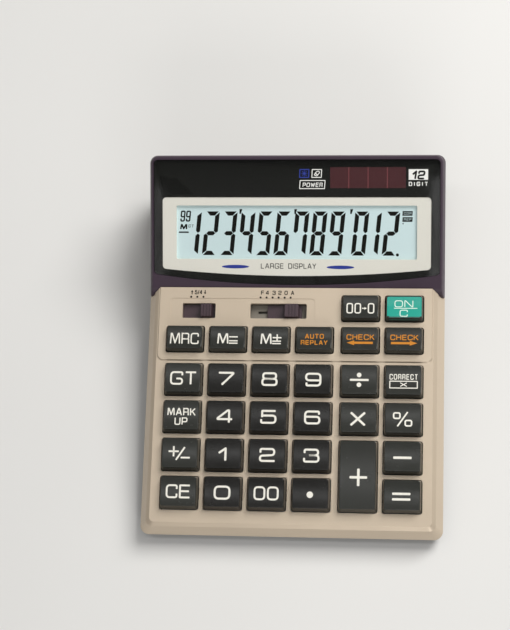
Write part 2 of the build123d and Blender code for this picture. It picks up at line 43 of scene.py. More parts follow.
# ---------------------------------------------------------------- working frames
# PANEL lies on the keypad: X across, Y up its slope, Z out of it, origin at the row of keys 7 to 9.
# HEAD lies on the hinge axis: X across, Y along the display face, Z out of it.
# Marks are placed in these frames in millimetres.
press_axis = Vector(joints["key_7_press"]["axis"])
SLOPE = math.atan2(press_axis.y, -press_axis.z)
HEAD_TILT = math.radians(17.1)
hinge = Vector(joints["head_tilt"]["pos_m"])
AXIS_Y, AXIS_Z = 52.0, -5.5                     # hinge axis seen from PANEL, in millimetres
slope_turn = Matrix.Rotation(SLOPE, 4, "X")
panel_origin = hinge - slope_turn.to_3x3() @ Vector((0, AXIS_Y, AXIS_Z)) * MM
PANEL = Matrix.Translation(panel_origin) @ slope_turn
HEAD = Matrix.Translation(hinge) @ Matrix.Rotation(SLOPE + HEAD_TILT, 4, "X")


def local_box(node, place):
    """Lowest and highest corners of a CAD node in a working frame, in millimetres."""
    back = place.inverted()
    points = [back @ v.co for v in nodes[node].data.vertices]
    low = Vector([min(p[i] for p in points) for i in range(3)]) / MM
    high = Vector([max(p[i] for p in points) for i in range(3)]) / MM
    return low, high


# ---------------------------------------------------------------- materials
def new_material(name):
    """Material with its node tree and main shader."""
    material = bpy.data.materials.new(name)
    material.use_nodes = True
    tree = material.node_tree
    shader = tree.nodes["Principled BSDF"]
    return material, tree, shader


def object_noise(tree, scale, detail=3.0, stretch=(1, 1, 1)):
    """Noise fixed to the object, scale in features per metre."""
    place = tree.nodes.new("ShaderNodeTexCoord")
    mapping = tree.nodes.new("ShaderNodeMapping")
    mapping.inputs["Scale"].default_value = stretch
    noise = tree.nodes.new("ShaderNodeTexNoise")
    noise.inputs["Scale"].default_value = scale
    noise.inputs["Detail"].default_value = detail
    tree.links.new(place.outputs["Object"], mapping.inputs["Vector"])
    tree.links.new(mapping.outputs["Vector"], noise.inputs["Vector"])
    return noise.outputs["Fac"]


def ramp(tree, source, low, high, start=0.3, end=0.7):
    """Colour ramp between two colours."""
    node = tree.nodes.new("ShaderNodeValToRGB")
    node.color_ramp.elements[0].position = start
    node.color_ramp.elements[1].position = end
    node.color_ramp.elements[0].color = (*low, 1)
    node.color_ramp.elements[1].color = (*high, 1)
    tree.links.new(source, node.inputs["Fac"])
    return node.outputs["Color"]


def spread(tree, source, low, high):
    """Number between low and high following a 0 to 1 source."""
    node = tree.nodes.new("ShaderNodeMapRange")
    node.inputs["To Min"].default_value = low
    node.inputs["To Max"].default_value = high
    tree.links.new(source, node.inputs["Value"])
    return node.outputs["Result"]


def add_bump(tree, shader, source, strength, distance):
    """Fine relief from a 0 to 1 source, distance in metres."""
    bump = tree.nodes.new("ShaderNodeBump")
    bump.inputs["Strength"].default_value = strength
    bump.inputs["Distance"].default_value = distance
    tree.links.new(source, bump.inputs["Height"])
    tree.links.new(bump.outputs["Normal"], shader.inputs["Normal"])


def shade(colour, factor):
    """Lighter or darker copy of a colour."""
    return tuple(min(1.0, c * factor) for c in colour)


def linear(r, g, b):
    """Linear colour from 0 to 255 display values."""
    def one(value):
        value /= 255
        return value / 12.92 if value <= 0.04045 else ((value + 0.055) / 1.055) ** 2.4
    return one(r), one(g), one(b)


def moulded(name, colour, rough=0.5, grain=2600, depth=0.000012, vary=0.06, specular=0.5, metallic=0.0):
    """Moulded plastic: fine spark-eroded texture, faint handling marks, slight colour drift."""
    material, tree, shader = new_material(name)
    drift = object_noise(tree, 22, 4)
    wear = object_noise(tree, 160, 5, (1, 1.6, 1))
    texture = object_noise(tree, grain, 2)
    tint = ramp(tree, drift, shade(colour, 1 - vary), shade(colour, 1 + vary))
    tree.links.new(tint, shader.inputs["Base Color"])
    tree.links.new(spread(tree, wear, rough - 0.07, rough + 0.07), shader.inputs["Roughness"])
    add_bump(tree, shader, texture, 0.5, depth)
    shader.inputs["Specular IOR Level"].default_value = specular
    shader.inputs["Metallic"].default_value = metallic
    return material


def polished(name, colour, rough=0.06, coat=0.0, alpha=1.0):
    """Polished plastic with faint dust and wiping marks in its gloss."""
    material, tree, shader = new_material(name)
    dust = object_noise(tree, 900, 6)
    wipe = object_noise(tree, 60, 3, (0.3, 2.5, 1))
    tint = ramp(tree, dust, colour, shade(colour, 1.25), 0.45, 0.75)
    tree.links.new(tint, shader.inputs["Base Color"])
    tree.links.new(spread(tree, wipe, rough, rough + 0.05), shader.inputs["Roughness"])
    shader.inputs["Coat Weight"].default_value = coat
    shader.inputs["Coat Roughness"].default_value = 0.04
    shader.inputs["Alpha"].default_value = alpha
    return material


def rubbery(name, colour):
    """Soft matt rubber, blotched and slightly rough."""
    material, tree, shader = new_material(name)
    blotch = object_noise(tree, 220, 4)
    tree.links.new(ramp(tree, blotch, shade(colour, 0.85), shade(colour, 1.15)), shader.inputs["Base Color"])
    tree.links.new(spread(tree, blotch, 0.7, 0.9), shader.inputs["Roughness"])
    add_bump(tree, shader, object_noise(tree, 1800, 3), 0.6, 0.00002)
    return material


def metal(name, colour, rough=0.3, along=(1, 30, 30)):
    """Brushed or plated metal with fine directional scratches."""
    material, tree, shader = new_material(name)
    scratch = object_noise(tree, 420, 5, along)
    tree.links.new(ramp(tree, scratch, shade(colour, 0.85), shade(colour, 1.1)), shader.inputs["Base Color"])
    tree.links.new(spread(tree, scratch, rough - 0.08, rough + 0.12), shader.inputs["Roughness"])
    add_bump(tree, shader, scratch, 0.25, 0.00001)
    shader.inputs["Metallic"].default_value = 1.0
    return material


def laminate(name, colour):
    """Circuit board: solder mask with faint tracks showing through."""
    material, tree, shader = new_material(name)
    place = tree.nodes.new("ShaderNodeTexCoord")
    tracks = tree.nodes.new("ShaderNodeTexBrick")
    tracks.inputs["Scale"].default_value = 180
    tracks.inputs["Color1"].default_value = (*colour, 1)
    tracks.inputs["Color2"].default_value = (*shade(colour, 0.8), 1)
    tracks.inputs["Mortar"].default_value = (*shade(colour, 1.6), 1)
    tree.links.new(place.outputs["Object"], tracks.inputs["Vector"])
    tree.links.new(tracks.outputs["Color"], shader.inputs["Base Color"])
    tree.links.new(spread(tree, object_noise(tree, 90), 0.3, 0.5), shader.inputs["Roughness"])
    return material


def ink(name, colour, rough=0.55, specular=0.5):
    """Printed ink: slightly uneven coverage."""
    material, tree, shader = new_material(name)
    cover = object_noise(tree, 700, 5)
    tree.links.new(ramp(tree, cover, shade(colour, 0.93), shade(colour, 1.03)), shader.inputs["Base Color"])
    tree.links.new(spread(tree, cover, rough - 0.1, rough + 0.1), shader.inputs["Roughness"])
    shader.inputs["Specular IOR Level"].default_value = specular
    return material


def lcd_backing():
    """Pale reflector behind the liquid crystal: fine grain and a slow drift in its tone."""
    material, tree, shader = new_material("LcdPale")
    grain = object_noise(tree, 2500, 2)
    drift = object_noise(tree, 9, 2)
    base = linear(222, 245, 247)
    tint = ramp(tree, drift, shade(base, 0.96), shade(base, 1.04), 0.2, 0.8)
    tree.links.new(tint, shader.inputs["Base Color"])
    tree.links.new(spread(tree, grain, 0.3, 0.45), shader.inputs["Roughness"])
    add_bump(tree, shader, grain, 0.2, 0.000004)
    return material


CHAMPAGNE = linear(204, 188, 167)
PLUM = linear(70, 55, 69)

SLOT_MATERIALS = {
    "case_upper": moulded("BaseChampagne", CHAMPAGNE, 0.4, 3200, 0.00001, 0.03, 0.5, 0.4),
    "case_lower": moulded("BaseDark", linear(62, 60, 58), 0.5),
    "key_numeral": moulded("KeyBlack", linear(27, 26, 24), 0.25, 3800, 0.000008, 0.05, 0.4),
    "key_function": moulded("KeyCharcoal", linear(42, 43, 39), 0.25, 3800, 0.000008, 0.05, 0.45),
    "key_on": moulded("KeyDarkRim", linear(42, 44, 41), 0.36, 3800, 0.000008, 0.05, 0.5),
    "head_purple": moulded("HeadPlum", shade(PLUM, 0.8), 0.46, 3200, 0.00001, 0.04, 0.36),
    "head_cover": moulded("HeadRearPlum", linear(64, 52, 66), 0.5, 2600, 0.000014, 0.05, 0.5),
    "knob": moulded("KnobPlum", linear(66, 49, 56), 0.42, 3200, 0.00001, 0.05, 0.5),
    "lens_clear": polished("LensClear", (0.02, 0.021, 0.022), 0.03, 0.0, 0.05),
    "lens_mask": polished("LensPrint", linear(20, 21, 18), 0.03, 0.3),
    "frame_cream": moulded("FrameCream", linear(244, 242, 231), 0.5, 3000, 0.000006, 0.02),
    "solar": polished("SolarMaroon", linear(76, 40, 43), 0.12, 0.2),
    "board": laminate("BoardGreen", linear(46, 88, 58)),
    "chip": polished("ChipEpoxy", linear(22, 22, 24), 0.2),
    "membrane": rubbery("MembraneGrey", linear(196, 196, 190)),
    "feet": rubbery("FeetBlack", linear(38, 38, 38)),
    "strip": rubbery("StripPink", linear(190, 150, 165)),
    "ribbon": ink("RibbonFilm", linear(198, 170, 120)),
    "steel": metal("ScrewSteel", (0.62, 0.62, 0.6), 0.32),
    "spring_steel": metal("SpringSteel", (0.68, 0.67, 0.63), 0.25),
    "cell": moulded("CellWrap", linear(52, 60, 74), 0.3, 1200, 0.000004),
    "switch_body": moulded("SwitchGrey", linear(128, 122, 112), 0.5),
    "lcd": lcd_backing(),
}

for row in frame["record"]["subparts"]:
    mesh = nodes[row["node"]].data
    mesh.materials.clear()
    mesh.materials.append(SLOT_MATERIALS[row["material_slot"]])

INK_WHITE = ink("LegendWhite", linear(240, 237, 226))
INK_BRIGHT = ink("MaskWhite", linear(255, 255, 249))
INK_ORANGE = ink("LegendOrange", linear(206, 128, 0))
INK_MINT = ink("LegendMint", linear(214, 240, 226))
INK_BLACK = ink("LabelBlack", linear(14, 11, 9), 0.7, 0.2)
INK_GREY = ink("LabelGrey", linear(74, 74, 70))
INK_BLUE = ink("LabelBlue", linear(34, 56, 158))
INK_LINE = ink("SolarLine", linear(124, 58, 62))
LCD_DARK = ink("LcdSegment", linear(14, 14, 8), 0.5, 0.15)
LCD_FAINT = ink("LcdFaint", linear(138, 156, 158), 0.35)
LCD_CLEAR = ink("LcdLetter", linear(196, 218, 220), 0.35)
TEAL = moulded("KeyTeal", linear(36, 164, 146), 0.25, 3800, 0.000008, 0.04, 0.5)

# ---------------------------------------------------------------- stroke letters
# Each glyph: relative width and strokes in a unit box. A stroke is (points, corner radius, closed);
# the radius is a share of the smaller box side.
GLYPHS = {
    "0": (1.0, [([(0, 0), (1, 0), (1, 1), (0, 1)], 0.36, True)]),
    "1": (0.5, [([(0, 0.62), (1, 1), (1, 0)], 0.03, False)]),
    "2": (1.0, [([(0.02, 0.72), (0.02, 1), (0.98, 1), (0.98, 0.5), (0, 0.43), (0, 0), (1, 0)], 0.26, False)]),
    "3": (1.0, [([(0.03, 0.74), (0.03, 1), (0.96, 1), (0.96, 0.54), (0.36, 0.54)], 0.24, False),
                ([(0.36, 0.54), (1, 0.54), (1, 0), (0, 0), (0, 0.28)], 0.26, False)]),
    "4": (1.0, [([(0.8, 0), (0.8, 1), (0.7, 1), (0, 0.34), (0, 0.26), (1, 0.26)], 0.05, False)]),
    "5": (1.0, [([(0.97, 1), (0.06, 1), (0.06, 0.5)], 0.04, False),
                ([(0.04, 0.61), (1, 0.61), (1, 0), (0, 0), (0, 0.27)], 0.28, False)]),
    "6": (1.0, [([(0.96, 0.78), (0.96, 1), (0, 1), (0, 0), (1, 0), (1, 0.56), (0.02, 0.56)], 0.3, False)]),
    "7": (1.0, [([(0, 1), (1, 1), (1, 0.93), (0.22, 0)], 0.06, False)]),
    "8": (1.0, [([(0.05, 0.53), (0.95, 0.53), (0.95, 1), (0.05, 1)], 0.22, True),
                ([(0, 0), (1, 0), (1, 0.53), (0, 0.53)], 0.24, True)]),
    "9": (1.0, [([(0.04, 0.22), (0.04, 0), (1, 0), (1, 1), (0, 1), (0, 0.44), (0.98, 0.44)], 0.3, False)]),
    "A": (1.05, [([(0, 0), (0.44, 1), (0.56, 1), (1, 0)], 0.05, False),
                 ([(0.17, 0.3), (0.83, 0.3)], 0, False)]),
    "C": (1.0, [([(1, 0.72), (1, 1), (0, 1), (0, 0), (1, 0), (1, 0.28)], 0.34, False)]),
    "D": (1.0, [([(0.4, 0), (0, 0), (0, 1), (0.4, 1)], 0, False),
                ([(0.3, 1), (1, 1), (1, 0), (0.3, 0)], 0.34, False)]),
    "E": (0.9, [([(1, 1), (0, 1), (0, 0), (1, 0)], 0.04, False), ([(0, 0.52), (0.92, 0.52)], 0, False)]),
    "F": (0.85, [([(1, 1), (0, 1), (0, 0)], 0.04, False), ([(0, 0.5), (0.88, 0.5)], 0, False)]),
    "G": (1.05, [([(1, 0.76), (1, 1), (0, 1), (0, 0), (1, 0), (1, 0.46), (0.5, 0.46)], 0.3, False)]),
    "H": (1.0, [([(0, 0), (0, 1)], 0, False),
                ([(1, 0), (1, 1)], 0, False),
                ([(0, 0.52), (1, 0.52)], 0, False)]),
    "I": (0.02, [([(0.5, 0), (0.5, 1)], 0, False)]),
    "K": (0.95, [([(0, 0), (0, 1)], 0, False),
                 ([(0.96, 1), (0.06, 0.4)], 0, False),
                 ([(0.36, 0.6), (1, 0)], 0, False)]),
    "L": (0.8, [([(0, 1), (0, 0), (1, 0)], 0.04, False)]),
    "M": (1.3, [([(0, 0), (0.06, 1), (0.16, 1), (0.5, 0.05), (0.84, 1), (0.94, 1), (1, 0)], 0.02, False)]),
    "N": (1.05, [([(0, 0), (0, 1), (0.1, 1), (0.9, 0), (1, 0), (1, 1)], 0.02, False)]),
    "O": (1.1, [([(0, 0), (1, 0), (1, 1), (0, 1)], 0.38, True)]),
    "P": (0.95, [([(0, 0), (0, 1), (0.4, 1)], 0, False),
                 ([(0.3, 1), (1, 1), (1, 0.42), (0, 0.42)], 0.26, False)]),
    "R": (0.95, [([(0, 0), (0, 1), (0.4, 1)], 0, False),
                 ([(0.3, 1), (0.97, 1), (0.97, 0.46), (0, 0.46)], 0.24, False),
                 ([(0.5, 0.46), (1, 0.46), (1, 0)], 0.16, False)]),
    "S": (0.95, [([(0.97, 0.78), (0.97, 1), (0.03, 1), (0.03, 0.52), (1, 0.52), (1, 0), (0, 0), (0, 0.22)],
                  0.25, False)]),
    "T": (0.95, [([(0, 1), (1, 1)], 0, False), ([(0.5, 1), (0.5, 0)], 0, False)]),
    "U": (1.0, [([(0, 1), (0, 0), (1, 0), (1, 1)], 0.32, False)]),
    "W": (1.4, [([(0, 1), (0.26, 0), (0.5, 0.9), (0.74, 0), (1, 1)], 0.03, False)]),
    "Y": (0.95, [([(0, 1), (0.5, 0.44), (1, 1)], 0, False), ([(0.5, 0.44), (0.5, 0)], 0, False)]),
    "/": (0.5, [([(0, 0), (1, 1)], 0, False)]),
}
ARC_STEPS = 6                                   # spans that each rounded corner is drawn with
SHARPEST = 1e-4                                 # below this reach a corner stays sharp
SAME_POINT = 1e-5
LONGEST_SPAN = 0.8                              # short enough to follow a dished key top
MITRE_LIMIT = 0.5                               # a stroke at most doubles its width at a corner


def rounded_path(points, radius, closed):
    """Polyline with its corners replaced by short curves."""
    count = len(points)
    path = []
    for index in range(count):
        here = Vector(points[index])
        if not closed and index in (0, count - 1):
            path.append(here)
            continue
        before = Vector(points[index - 1]) - here
        after = Vector(points[(index + 1) % count]) - here
        reach = min(radius, before.length * 0.5, after.length * 0.5)
        if reach < SHARPEST:
            path.append(here)
            continue
        start = here + before.normalized() * reach
        end = here + after.normalized() * reach
        for step in range(ARC_STEPS + 1):
            t = step / ARC_STEPS
            path.append(start * (1 - t) ** 2 + here * 2 * t * (1 - t) + end * t ** 2)
    return path


def cut_long(path, closed):
    """Same path with no span over LONGEST_SPAN, so that it can follow a dished surface."""
    spans = list(zip(path, path[1:] + path[:1] if closed else path[1:]))
    result = []
    for start, end in spans:
        pieces = max(1, math.ceil((end - start).length / LONGEST_SPAN))
        result += [start.lerp(end, k / pieces) for k in range(pieces)]
    if not closed:
        result.append(path[-1])
    return result


def without_repeats(path):
    """Same path with no point that only repeats the one before."""
    kept = []
    for point in path:
        if not kept or (point - kept[-1]).length > SAME_POINT:
            kept.append(point)
    return kept


class Print:
    """Flat marks gathered in a working frame and laid on the CAD surface below them."""

    CAP_HALF = 0.47                             # rounded stroke end, as shares of the stroke's width
    CAP_REACH = 0.22
    RAY_START = 0.02                            # metres above the surface that marks are dropped from

    def __init__(self, place, lift=0.03):
        self.place = place
        self.lift = lift
        self.points = []
        self.faces = []

    def polygon(self, corners):
        """One flat face."""
        start = len(self.points)
        self.points += [Vector(c) for c in corners]
        self.faces.append(list(range(start, start + len(corners))))

    def stroke(self, points, width, radius=0.0, closed=False):
        """Band of the given width along a line, with its corners rounded and its open ends capped."""
        path = without_repeats(rounded_path(points, radius, closed))
        if closed and (path[0] - path[-1]).length < SAME_POINT:
            path.pop()
        path = cut_long(path, closed)
        count = len(path)
        start = len(self.points)
        for index, here in enumerate(path):
            before = path[index - 1] if closed or index > 0 else None
            after = path[(index + 1) % count] if closed or index < count - 1 else None
            first = (here - before).normalized() if before is not None else None
            second = (after - here).normalized() if after is not None else None
            first = first or second
            second = second or first
            along = (first + second).normalized()
            side = Vector((-along.y, along.x))
            stretch = 1 / max(MITRE_LIMIT, side.dot(Vector((-first.y, first.x))))
            self.points += [here + side * width / 2 * stretch, here - side * width / 2 * stretch]
        last = count if closed else count - 1
        for index in range(last):
            a = start + 2 * index
            b = start + 2 * ((index + 1) % count)
            self.faces.append([a, a + 1, b + 1, b])
        if not closed:
            self.cap(path[0], path[1], width)
            self.cap(path[-1], path[-2], width)

    def cap(self, end, inner, width):
        """Slightly rounded end of a stroke."""
        out = (end - inner).normalized()
        side = Vector((-out.y, out.x))
        corners = [end + side * width / 2]
        for angle in (60, 30, 0, -30, -60):
            turn = math.radians(angle)
            bow = out * math.cos(turn) * width * self.CAP_REACH
            corners.append(end + side * math.sin(turn) * width * self.CAP_HALF + bow)
        corners.append(end - side * width / 2)
        self.polygon(corners[::-1])

    def disc(self, centre, radius, squash=1.0, steps=28):
        """Round dot, or an ellipse when squash isn't 1."""
        turns = [2 * math.pi * k / steps for k in range(steps)]
        x, y = centre
        self.polygon([(x + radius * math.cos(t), y + radius * squash * math.sin(t)) for t in turns])

    def text(self, word, centre, width, height, line, slant=0.0, gap=None):
        """Word fitted into width and height, both measured to the outside of its strokes."""
        gap = line * 1.9 if gap is None else gap
        total = sum(GLYPHS[c][0] for c in word)
        unit = (width - line * len(word) - (gap - line) * (len(word) - 1)) / total
        left = centre[0] - width / 2 + line / 2
        low = centre[1] - height / 2 + line / 2
        tall = height - line
        for letter in word:
            share, strokes = GLYPHS[letter]
            wide = unit * share
            for points, radius, closed in strokes:
                placed = [(left + x * wide + slant * y * tall, low + y * tall) for x, y in points]
                self.stroke(placed, line, radius * min(max(wide, 0.01), tall), closed)
            left += wide + gap

    def build(self, name, body, material, over=None, height=0.0):
        """Mesh on top of the CAD nodes in over, or at a fixed height of the frame."""
        mesh = bpy.data.meshes.new(name)
        tree = surface_tree(over) if over else None
        normal = (self.place.to_3x3() @ Vector((0, 0, 1))).normalized()
        vertices = []
        for point in self.points:
            base = self.place @ (Vector((point.x, point.y, height)) * MM)
            hit = tree.ray_cast(base + normal * self.RAY_START, -normal)[0] if tree else None
            vertices.append((hit or base) + normal * self.lift * MM)
        mesh.from_pydata(vertices, [], self.faces)
        mesh.materials.append(material)
        work = bmesh.new()
        work.from_mesh(mesh)
        for face in work.faces:
            face.normal_update()
            if face.normal.dot(normal) < 0:
                face.normal_flip()
        work.to_mesh(mesh)
        work.free()
        piece = bpy.data.objects.new(name, mesh)
        bpy.context.scene.collection.objects.link(piece)
        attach(piece, body)
        return piece


def surface_tree(names):
    """Search tree over the CAD meshes of some nodes."""
    vertices, faces = [], []
    for name in names:
        mesh = nodes[name].data
        start = len(vertices)
        vertices += [v.co.copy() for v in mesh.vertices]
        faces += [[start + i for i in p.vertices] for p in mesh.polygons]
    return BVHTree.FromPolygons(vertices, faces)


# ---------------------------------------------------------------- key legends
def key_centre(name):
    """Middle of a key in PANEL."""
    low, high = local_box(name, PANEL)
    return Vector(((low.x + high.x) / 2, (low.y + high.y) / 2))


def legend(name, draw, material=INK_WHITE, lift=0.03):
    """Draws a key's legend about its centre; draw gets the Print and a shift function."""
    centre = key_centre(name)
    marks = Print(PANEL, lift)
    draw(marks, lambda x, y: (centre.x + x, centre.y + y))
    marks.build("legend_" + name[4:], name + "_body", material, over=[name])


def words(*lines):
    """Drawing function for text lines given as (word, x, y, width, height, line)."""
    def draw(marks, at):
        for word, x, y, width, height, line in lines:
            marks.text(word, at(x, y), width, height, line)
    return draw


def bars(*rows):
    """Drawing function for straight strokes given as (x0, y0, x1, y1, line)."""
    def draw(marks, at):
        for x0, y0, x1, y1, line in rows:
            marks.stroke([at(x0, y0), at(x1, y1)], line)
    return draw


def both(*parts):
    """Drawing function that draws each part in turn."""
    def draw(marks, at):
        for part in parts:
            part(marks, at)
    return draw


def divide_sign(marks, at):
    """Bar between two dots."""
    marks.stroke([at(-4.6, 0.1), at(4.6, 0.1)], 1.1)
    marks.disc(at(-0.1, 2.65), 1.2)
    marks.disc(at(-0.1, -2.45), 1.2)


def percent_sign(marks, at):
    """Slash between two small loops."""
    for x, y in ((-3.1, 1.5), (2.8, -2.3)):
        loop = [at(x - 1.6, y - 1.4), at(x + 1.6, y - 1.4), at(x + 1.6, y + 1.4), at(x - 1.6, y + 1.4)]
        marks.stroke(loop, 0.8, 0.9, True)
    marks.stroke([at(-2.7, -3.9), at(2.3, 3.3)], 0.8)


def correct_sign(marks, at):
    """Word over a box with a cross in it."""
    marks.text("CORRECT", at(0.1, 1.9), 14.4, 2.9, 0.44, gap=0.9)
    box = [at(-6.9, -3.9), at(7.1, -3.9), at(7.1, -0.35), at(-6.9, -0.35)]
    marks.stroke(box, 0.5, 0.1, True)
    marks.stroke([at(-1.5, -3.0), at(1.7, -1.2)], 0.45)
    marks.stroke([at(-1.5, -1.2), at(1.7, -3.0)], 0.45)


def check_arrow(direction):
    """Drawing function for an arrow pointing left (-1) or right (1)."""
    def draw(marks, at):
        tip, tail = 6.8 * direction, -6.6 * direction
        neck = 3.0 * direction
        y = -1.85
        marks.polygon([at(tail, y - 0.6), at(neck, y - 0.6), at(neck, y + 0.6), at(tail, y + 0.6)])
        marks.polygon([at(neck, y - 1.3), at(tip, y), at(neck, y + 1.3)])
    return draw


def zeros_arrow(marks, at):
    """Two zeros, a short arrow and a third zero."""
    y = -0.6
    for x in (-5.6, -1.45, 5.4):
        marks.text("0", at(x, y), 3.4, 5.6, 0.66)
    marks.stroke([at(0.75, y), at(2.3, y)], 0.5)
    marks.polygon([at(2.0, y - 0.75), at(3.2, y), at(2.0, y + 0.75)])


def dot_sign(marks, at):
    """Decimal point."""
    marks.disc(at(-0.2, -0.3), 1.65)


def key_legends():
    """Legends of all keys but the power key."""
    for digit in "234567890":
        width = 8.6 if digit == "0" else 8.4
        legend("key_" + digit, words((digit, 0.1, -0.05, width, 7.2, 1.05)))
    legend("key_1", words(("1", -0.5, -0.05, 4.4, 7.2, 1.1)))
    legend("key_00", words(("0", -3.3, 0.0, 6.0, 7.1, 0.95), ("0", 3.5, 0.0, 6.0, 7.1, 0.95)))
    legend("key_point", dot_sign)
    legend("key_grand_total", words(("G", -3.2, 0, 6.8, 7.1, 0.95), ("T", 4.2, 0, 6.0, 7.1, 0.95)))
    legend("key_mark_up", words(("MARK", 0.1, 2.0, 14.7, 4.0, 0.62), ("UP", 0, -2.9, 6.7, 4.0, 0.62)))
    legend("key_clear_entry", words(("C", -3.3, 0.2, 6.1, 7.1, 0.95), ("E", 3.4, 0.2, 5.8, 7.1, 0.95)))
    legend("key_memory_recall", words(("MRC", 0.0, -0.4, 15.1, 6.0, 0.68)))
    big_m = words(("M", -2.3, -0.3, 5.9, 5.7, 0.78))
    pair = bars((1.0, -1.4, 5.3, -1.4, 0.65), (1.0, -2.7, 5.3, -2.7, 0.65))
    minus = bars((1.0, 0.7, 5.3, 0.7, 0.65))
    plus = bars((1.2, 0.45, 5.5, 0.45, 0.7), (3.4, -0.9, 3.4, 2.1, 0.7))
    legend("key_memory_equals", both(big_m, minus, pair))
    legend("key_memory_plus_minus", both(big_m, plus, pair))
    replay = words(("AUTO", 0.2, 1.35, 9.8, 2.6, 0.5), ("REPLAY", 0.1, -1.95, 13.8, 2.5, 0.5))
    legend("key_auto_replay", replay, INK_ORANGE)
    check = words(("CHECK", 0.2, 1.15, 14.4, 2.9, 0.5))
    legend("key_check_back", both(check, check_arrow(-1)), INK_ORANGE)
    legend("key_check_forward", both(check, check_arrow(1)), INK_ORANGE)
    legend("key_rate_zero", zeros_arrow)
    legend("key_divide", divide_sign)
    legend("key_multiply", bars((-3.8, -3.6, 3.1, 2.7, 1.15), (-3.8, 2.7, 3.1, -3.6, 1.15)))
    legend("key_percent", percent_sign)
    legend("key_correct", correct_sign)
    sign = bars(
        (-5.6, 1.1, -0.6, 1.1, 0.9),
        (-3.1, -1.4, -3.1, 3.6, 0.9),
        (-1.7, -3.2, 2.5, 3.2, 0.9),
        (0.8, -2.1, 5.2, -2.1, 0.9),
    )
    legend("key_sign", sign)
    legend("key_plus", bars((-3.8, -0.8, 4.6, -0.8, 1.3), (0.4, -5.0, 0.4, 3.4, 1.3)))
    legend("key_minus", bars((-4.4, -0.35, 4.4, -0.35, 1.25)))
    legend("key_equals", bars((-4.7, 1.0, 4.0, 1.0, 1.2), (-4.7, -1.8, 4.0, -1.8, 1.2)))


def rounded_grid(marks, centre, half_wide, half_deep, corner, steps):
    """Grid of small faces filling a rounded rectangle, so that it can follow a dished key top."""
    def spot(column, row):
        y = half_deep * (2 * row / steps - 1)
        into = max(0.0, abs(y) - half_deep + corner)
        reach = half_wide - corner + math.sqrt(corner ** 2 - into ** 2)
        return centre.x + reach * (2 * column / steps - 1), centre.y + y

    for row in range(steps):
        for column in range(steps):
            ring = ((column, row), (column + 1, row), (column + 1, row + 1), (column, row + 1))
            marks.polygon([spot(*ring_corner) for ring_corner in ring])


def weld_smooth(piece):
    """Joins the faces of a piece along their shared edges and shades them smooth."""
    work = bmesh.new()
    work.from_mesh(piece.data)
    bmesh.ops.remove_doubles(work, verts=work.verts, dist=1e-7)
    for face in work.faces:
        face.smooth = True
    work.to_mesh(piece.data)
    work.free()


def on_clear_sign(marks, at):
    """Two words, one over and one under a line."""
    marks.text("O", at(-2.9, 1.9), 4.4, 3.7, 0.5)
    marks.text("N", at(2.3, 1.9), 4.6, 3.7, 0.5)
    marks.stroke([at(-5.2, -0.45), at(6.6, -0.45)], 0.45)
    marks.text("C", at(-0.3, -3.1), 4.2, 3.8, 0.5)


def power_key():
    """Teal face let into the dark key, and its legend."""
    name = "key_on_clear"
    face = Print(PANEL, 0.04)
    rounded_grid(face, key_centre(name), 8.85, 6.2, 1.0, 16)
    weld_smooth(face.build("power_key_face", name + "_body", TEAL, over=[name]))
    legend(name, on_clear_sign, INK_MINT, 0.08)


# ---------------------------------------------------------------- keypad panel print
def panel_print():
    """Position dots and labels above the two slide switches."""
    marks = Print(PANEL, 0.03)
    tall, line = 2.3, 0.42
    dots = [(-54.7 + 3.25 * step, 44.1) for step in range(3)]
    dots += [(-18.1 + 3.15 * step, 43.95) for step in range(6)]
    for spot in dots:
        marks.disc(spot, 0.55)
    middle = 46.6                               # height of the rounding labels on the panel
    marks.text("5/4", (-50.9, middle), 3.9, tall, line, gap=0.6)
    for x, up in ((-54.3, 1), (-47.4, -1)):
        marks.stroke([(x, middle - up * 1.1), (x, middle + up * 0.3)], 0.5)
        foot = middle + up * 0.1
        marks.polygon([(x - 0.65, foot), (x + 0.65, foot), (x, middle + up * 1.15)][::up])
    for letter, x in zip("F4320A", (-17.1, -14.6, -11.1, -8.0, -4.8, -1.4)):
        marks.text(letter, (x, 46.5), 1.7, tall, line)
    marks.build("panel_labels", "base", INK_BLACK, over=["upper_case"])


# ---------------------------------------------------------------- display
LCD_TOP = local_box("lcd_glass", HEAD)[1].z
FRAME_TOP = local_box("lcd_frame", HEAD)[1].z
MASK_TOP = local_box("lens_mask", HEAD)[1].z
SOLAR_LOW, SOLAR_HIGH = local_box("solar_cell", HEAD)
SEGMENTS = {
    "0": "abcdef", "1": "bc", "2": "abged", "3": "abgcd", "4": "fgbc", "5": "afgcd",
    "6": "afgedc", "7": "fabc", "8": "abcdefg", "9": "abcdfg",
}


def segment_corners(segment, wide, tall, line):
    """Corners of one segment of a digit standing in a wide by tall box."""
    gap = line * 0.08
    cut = line * 0.16
    half, mid = line / 2, tall / 2
    flat = {"a": (tall, -1), "d": (0.0, 1)}
    if segment in flat:
        y, way = flat[segment]
        inner = y + way * line
        return [(cut + gap, y), (wide - cut - gap, y), (wide - line - gap, inner), (line + gap, inner)]
    if segment == "g":
        return [(half + gap, mid), (line + gap, mid + half), (wide - line - gap, mid + half),
                (wide - half - gap, mid), (wide - line - gap, mid - half), (line + gap, mid - half)]
    way = 1 if segment in "bf" else -1
    end = tall / 2
    outer = [(0, end - cut - gap), (line, end - line - gap), (line, half + gap), (half, gap)]
    outer.append((0, half * 0.7 + gap))
    corners = [(x, mid + way * y) for x, y in outer]
    if segment in "bc":
        corners = [(wide - x, y) for x, y in corners]
    return corners


def lcd_digit(marks, digit, left, low, wide, tall, line, slant):
    """One seven-segment figure leaning by slant."""
    for segment in SEGMENTS[digit]:
        corners = segment_corners(segment, wide, tall, line)
        marks.polygon([(left + x + slant * y, low + y) for x, y in corners])


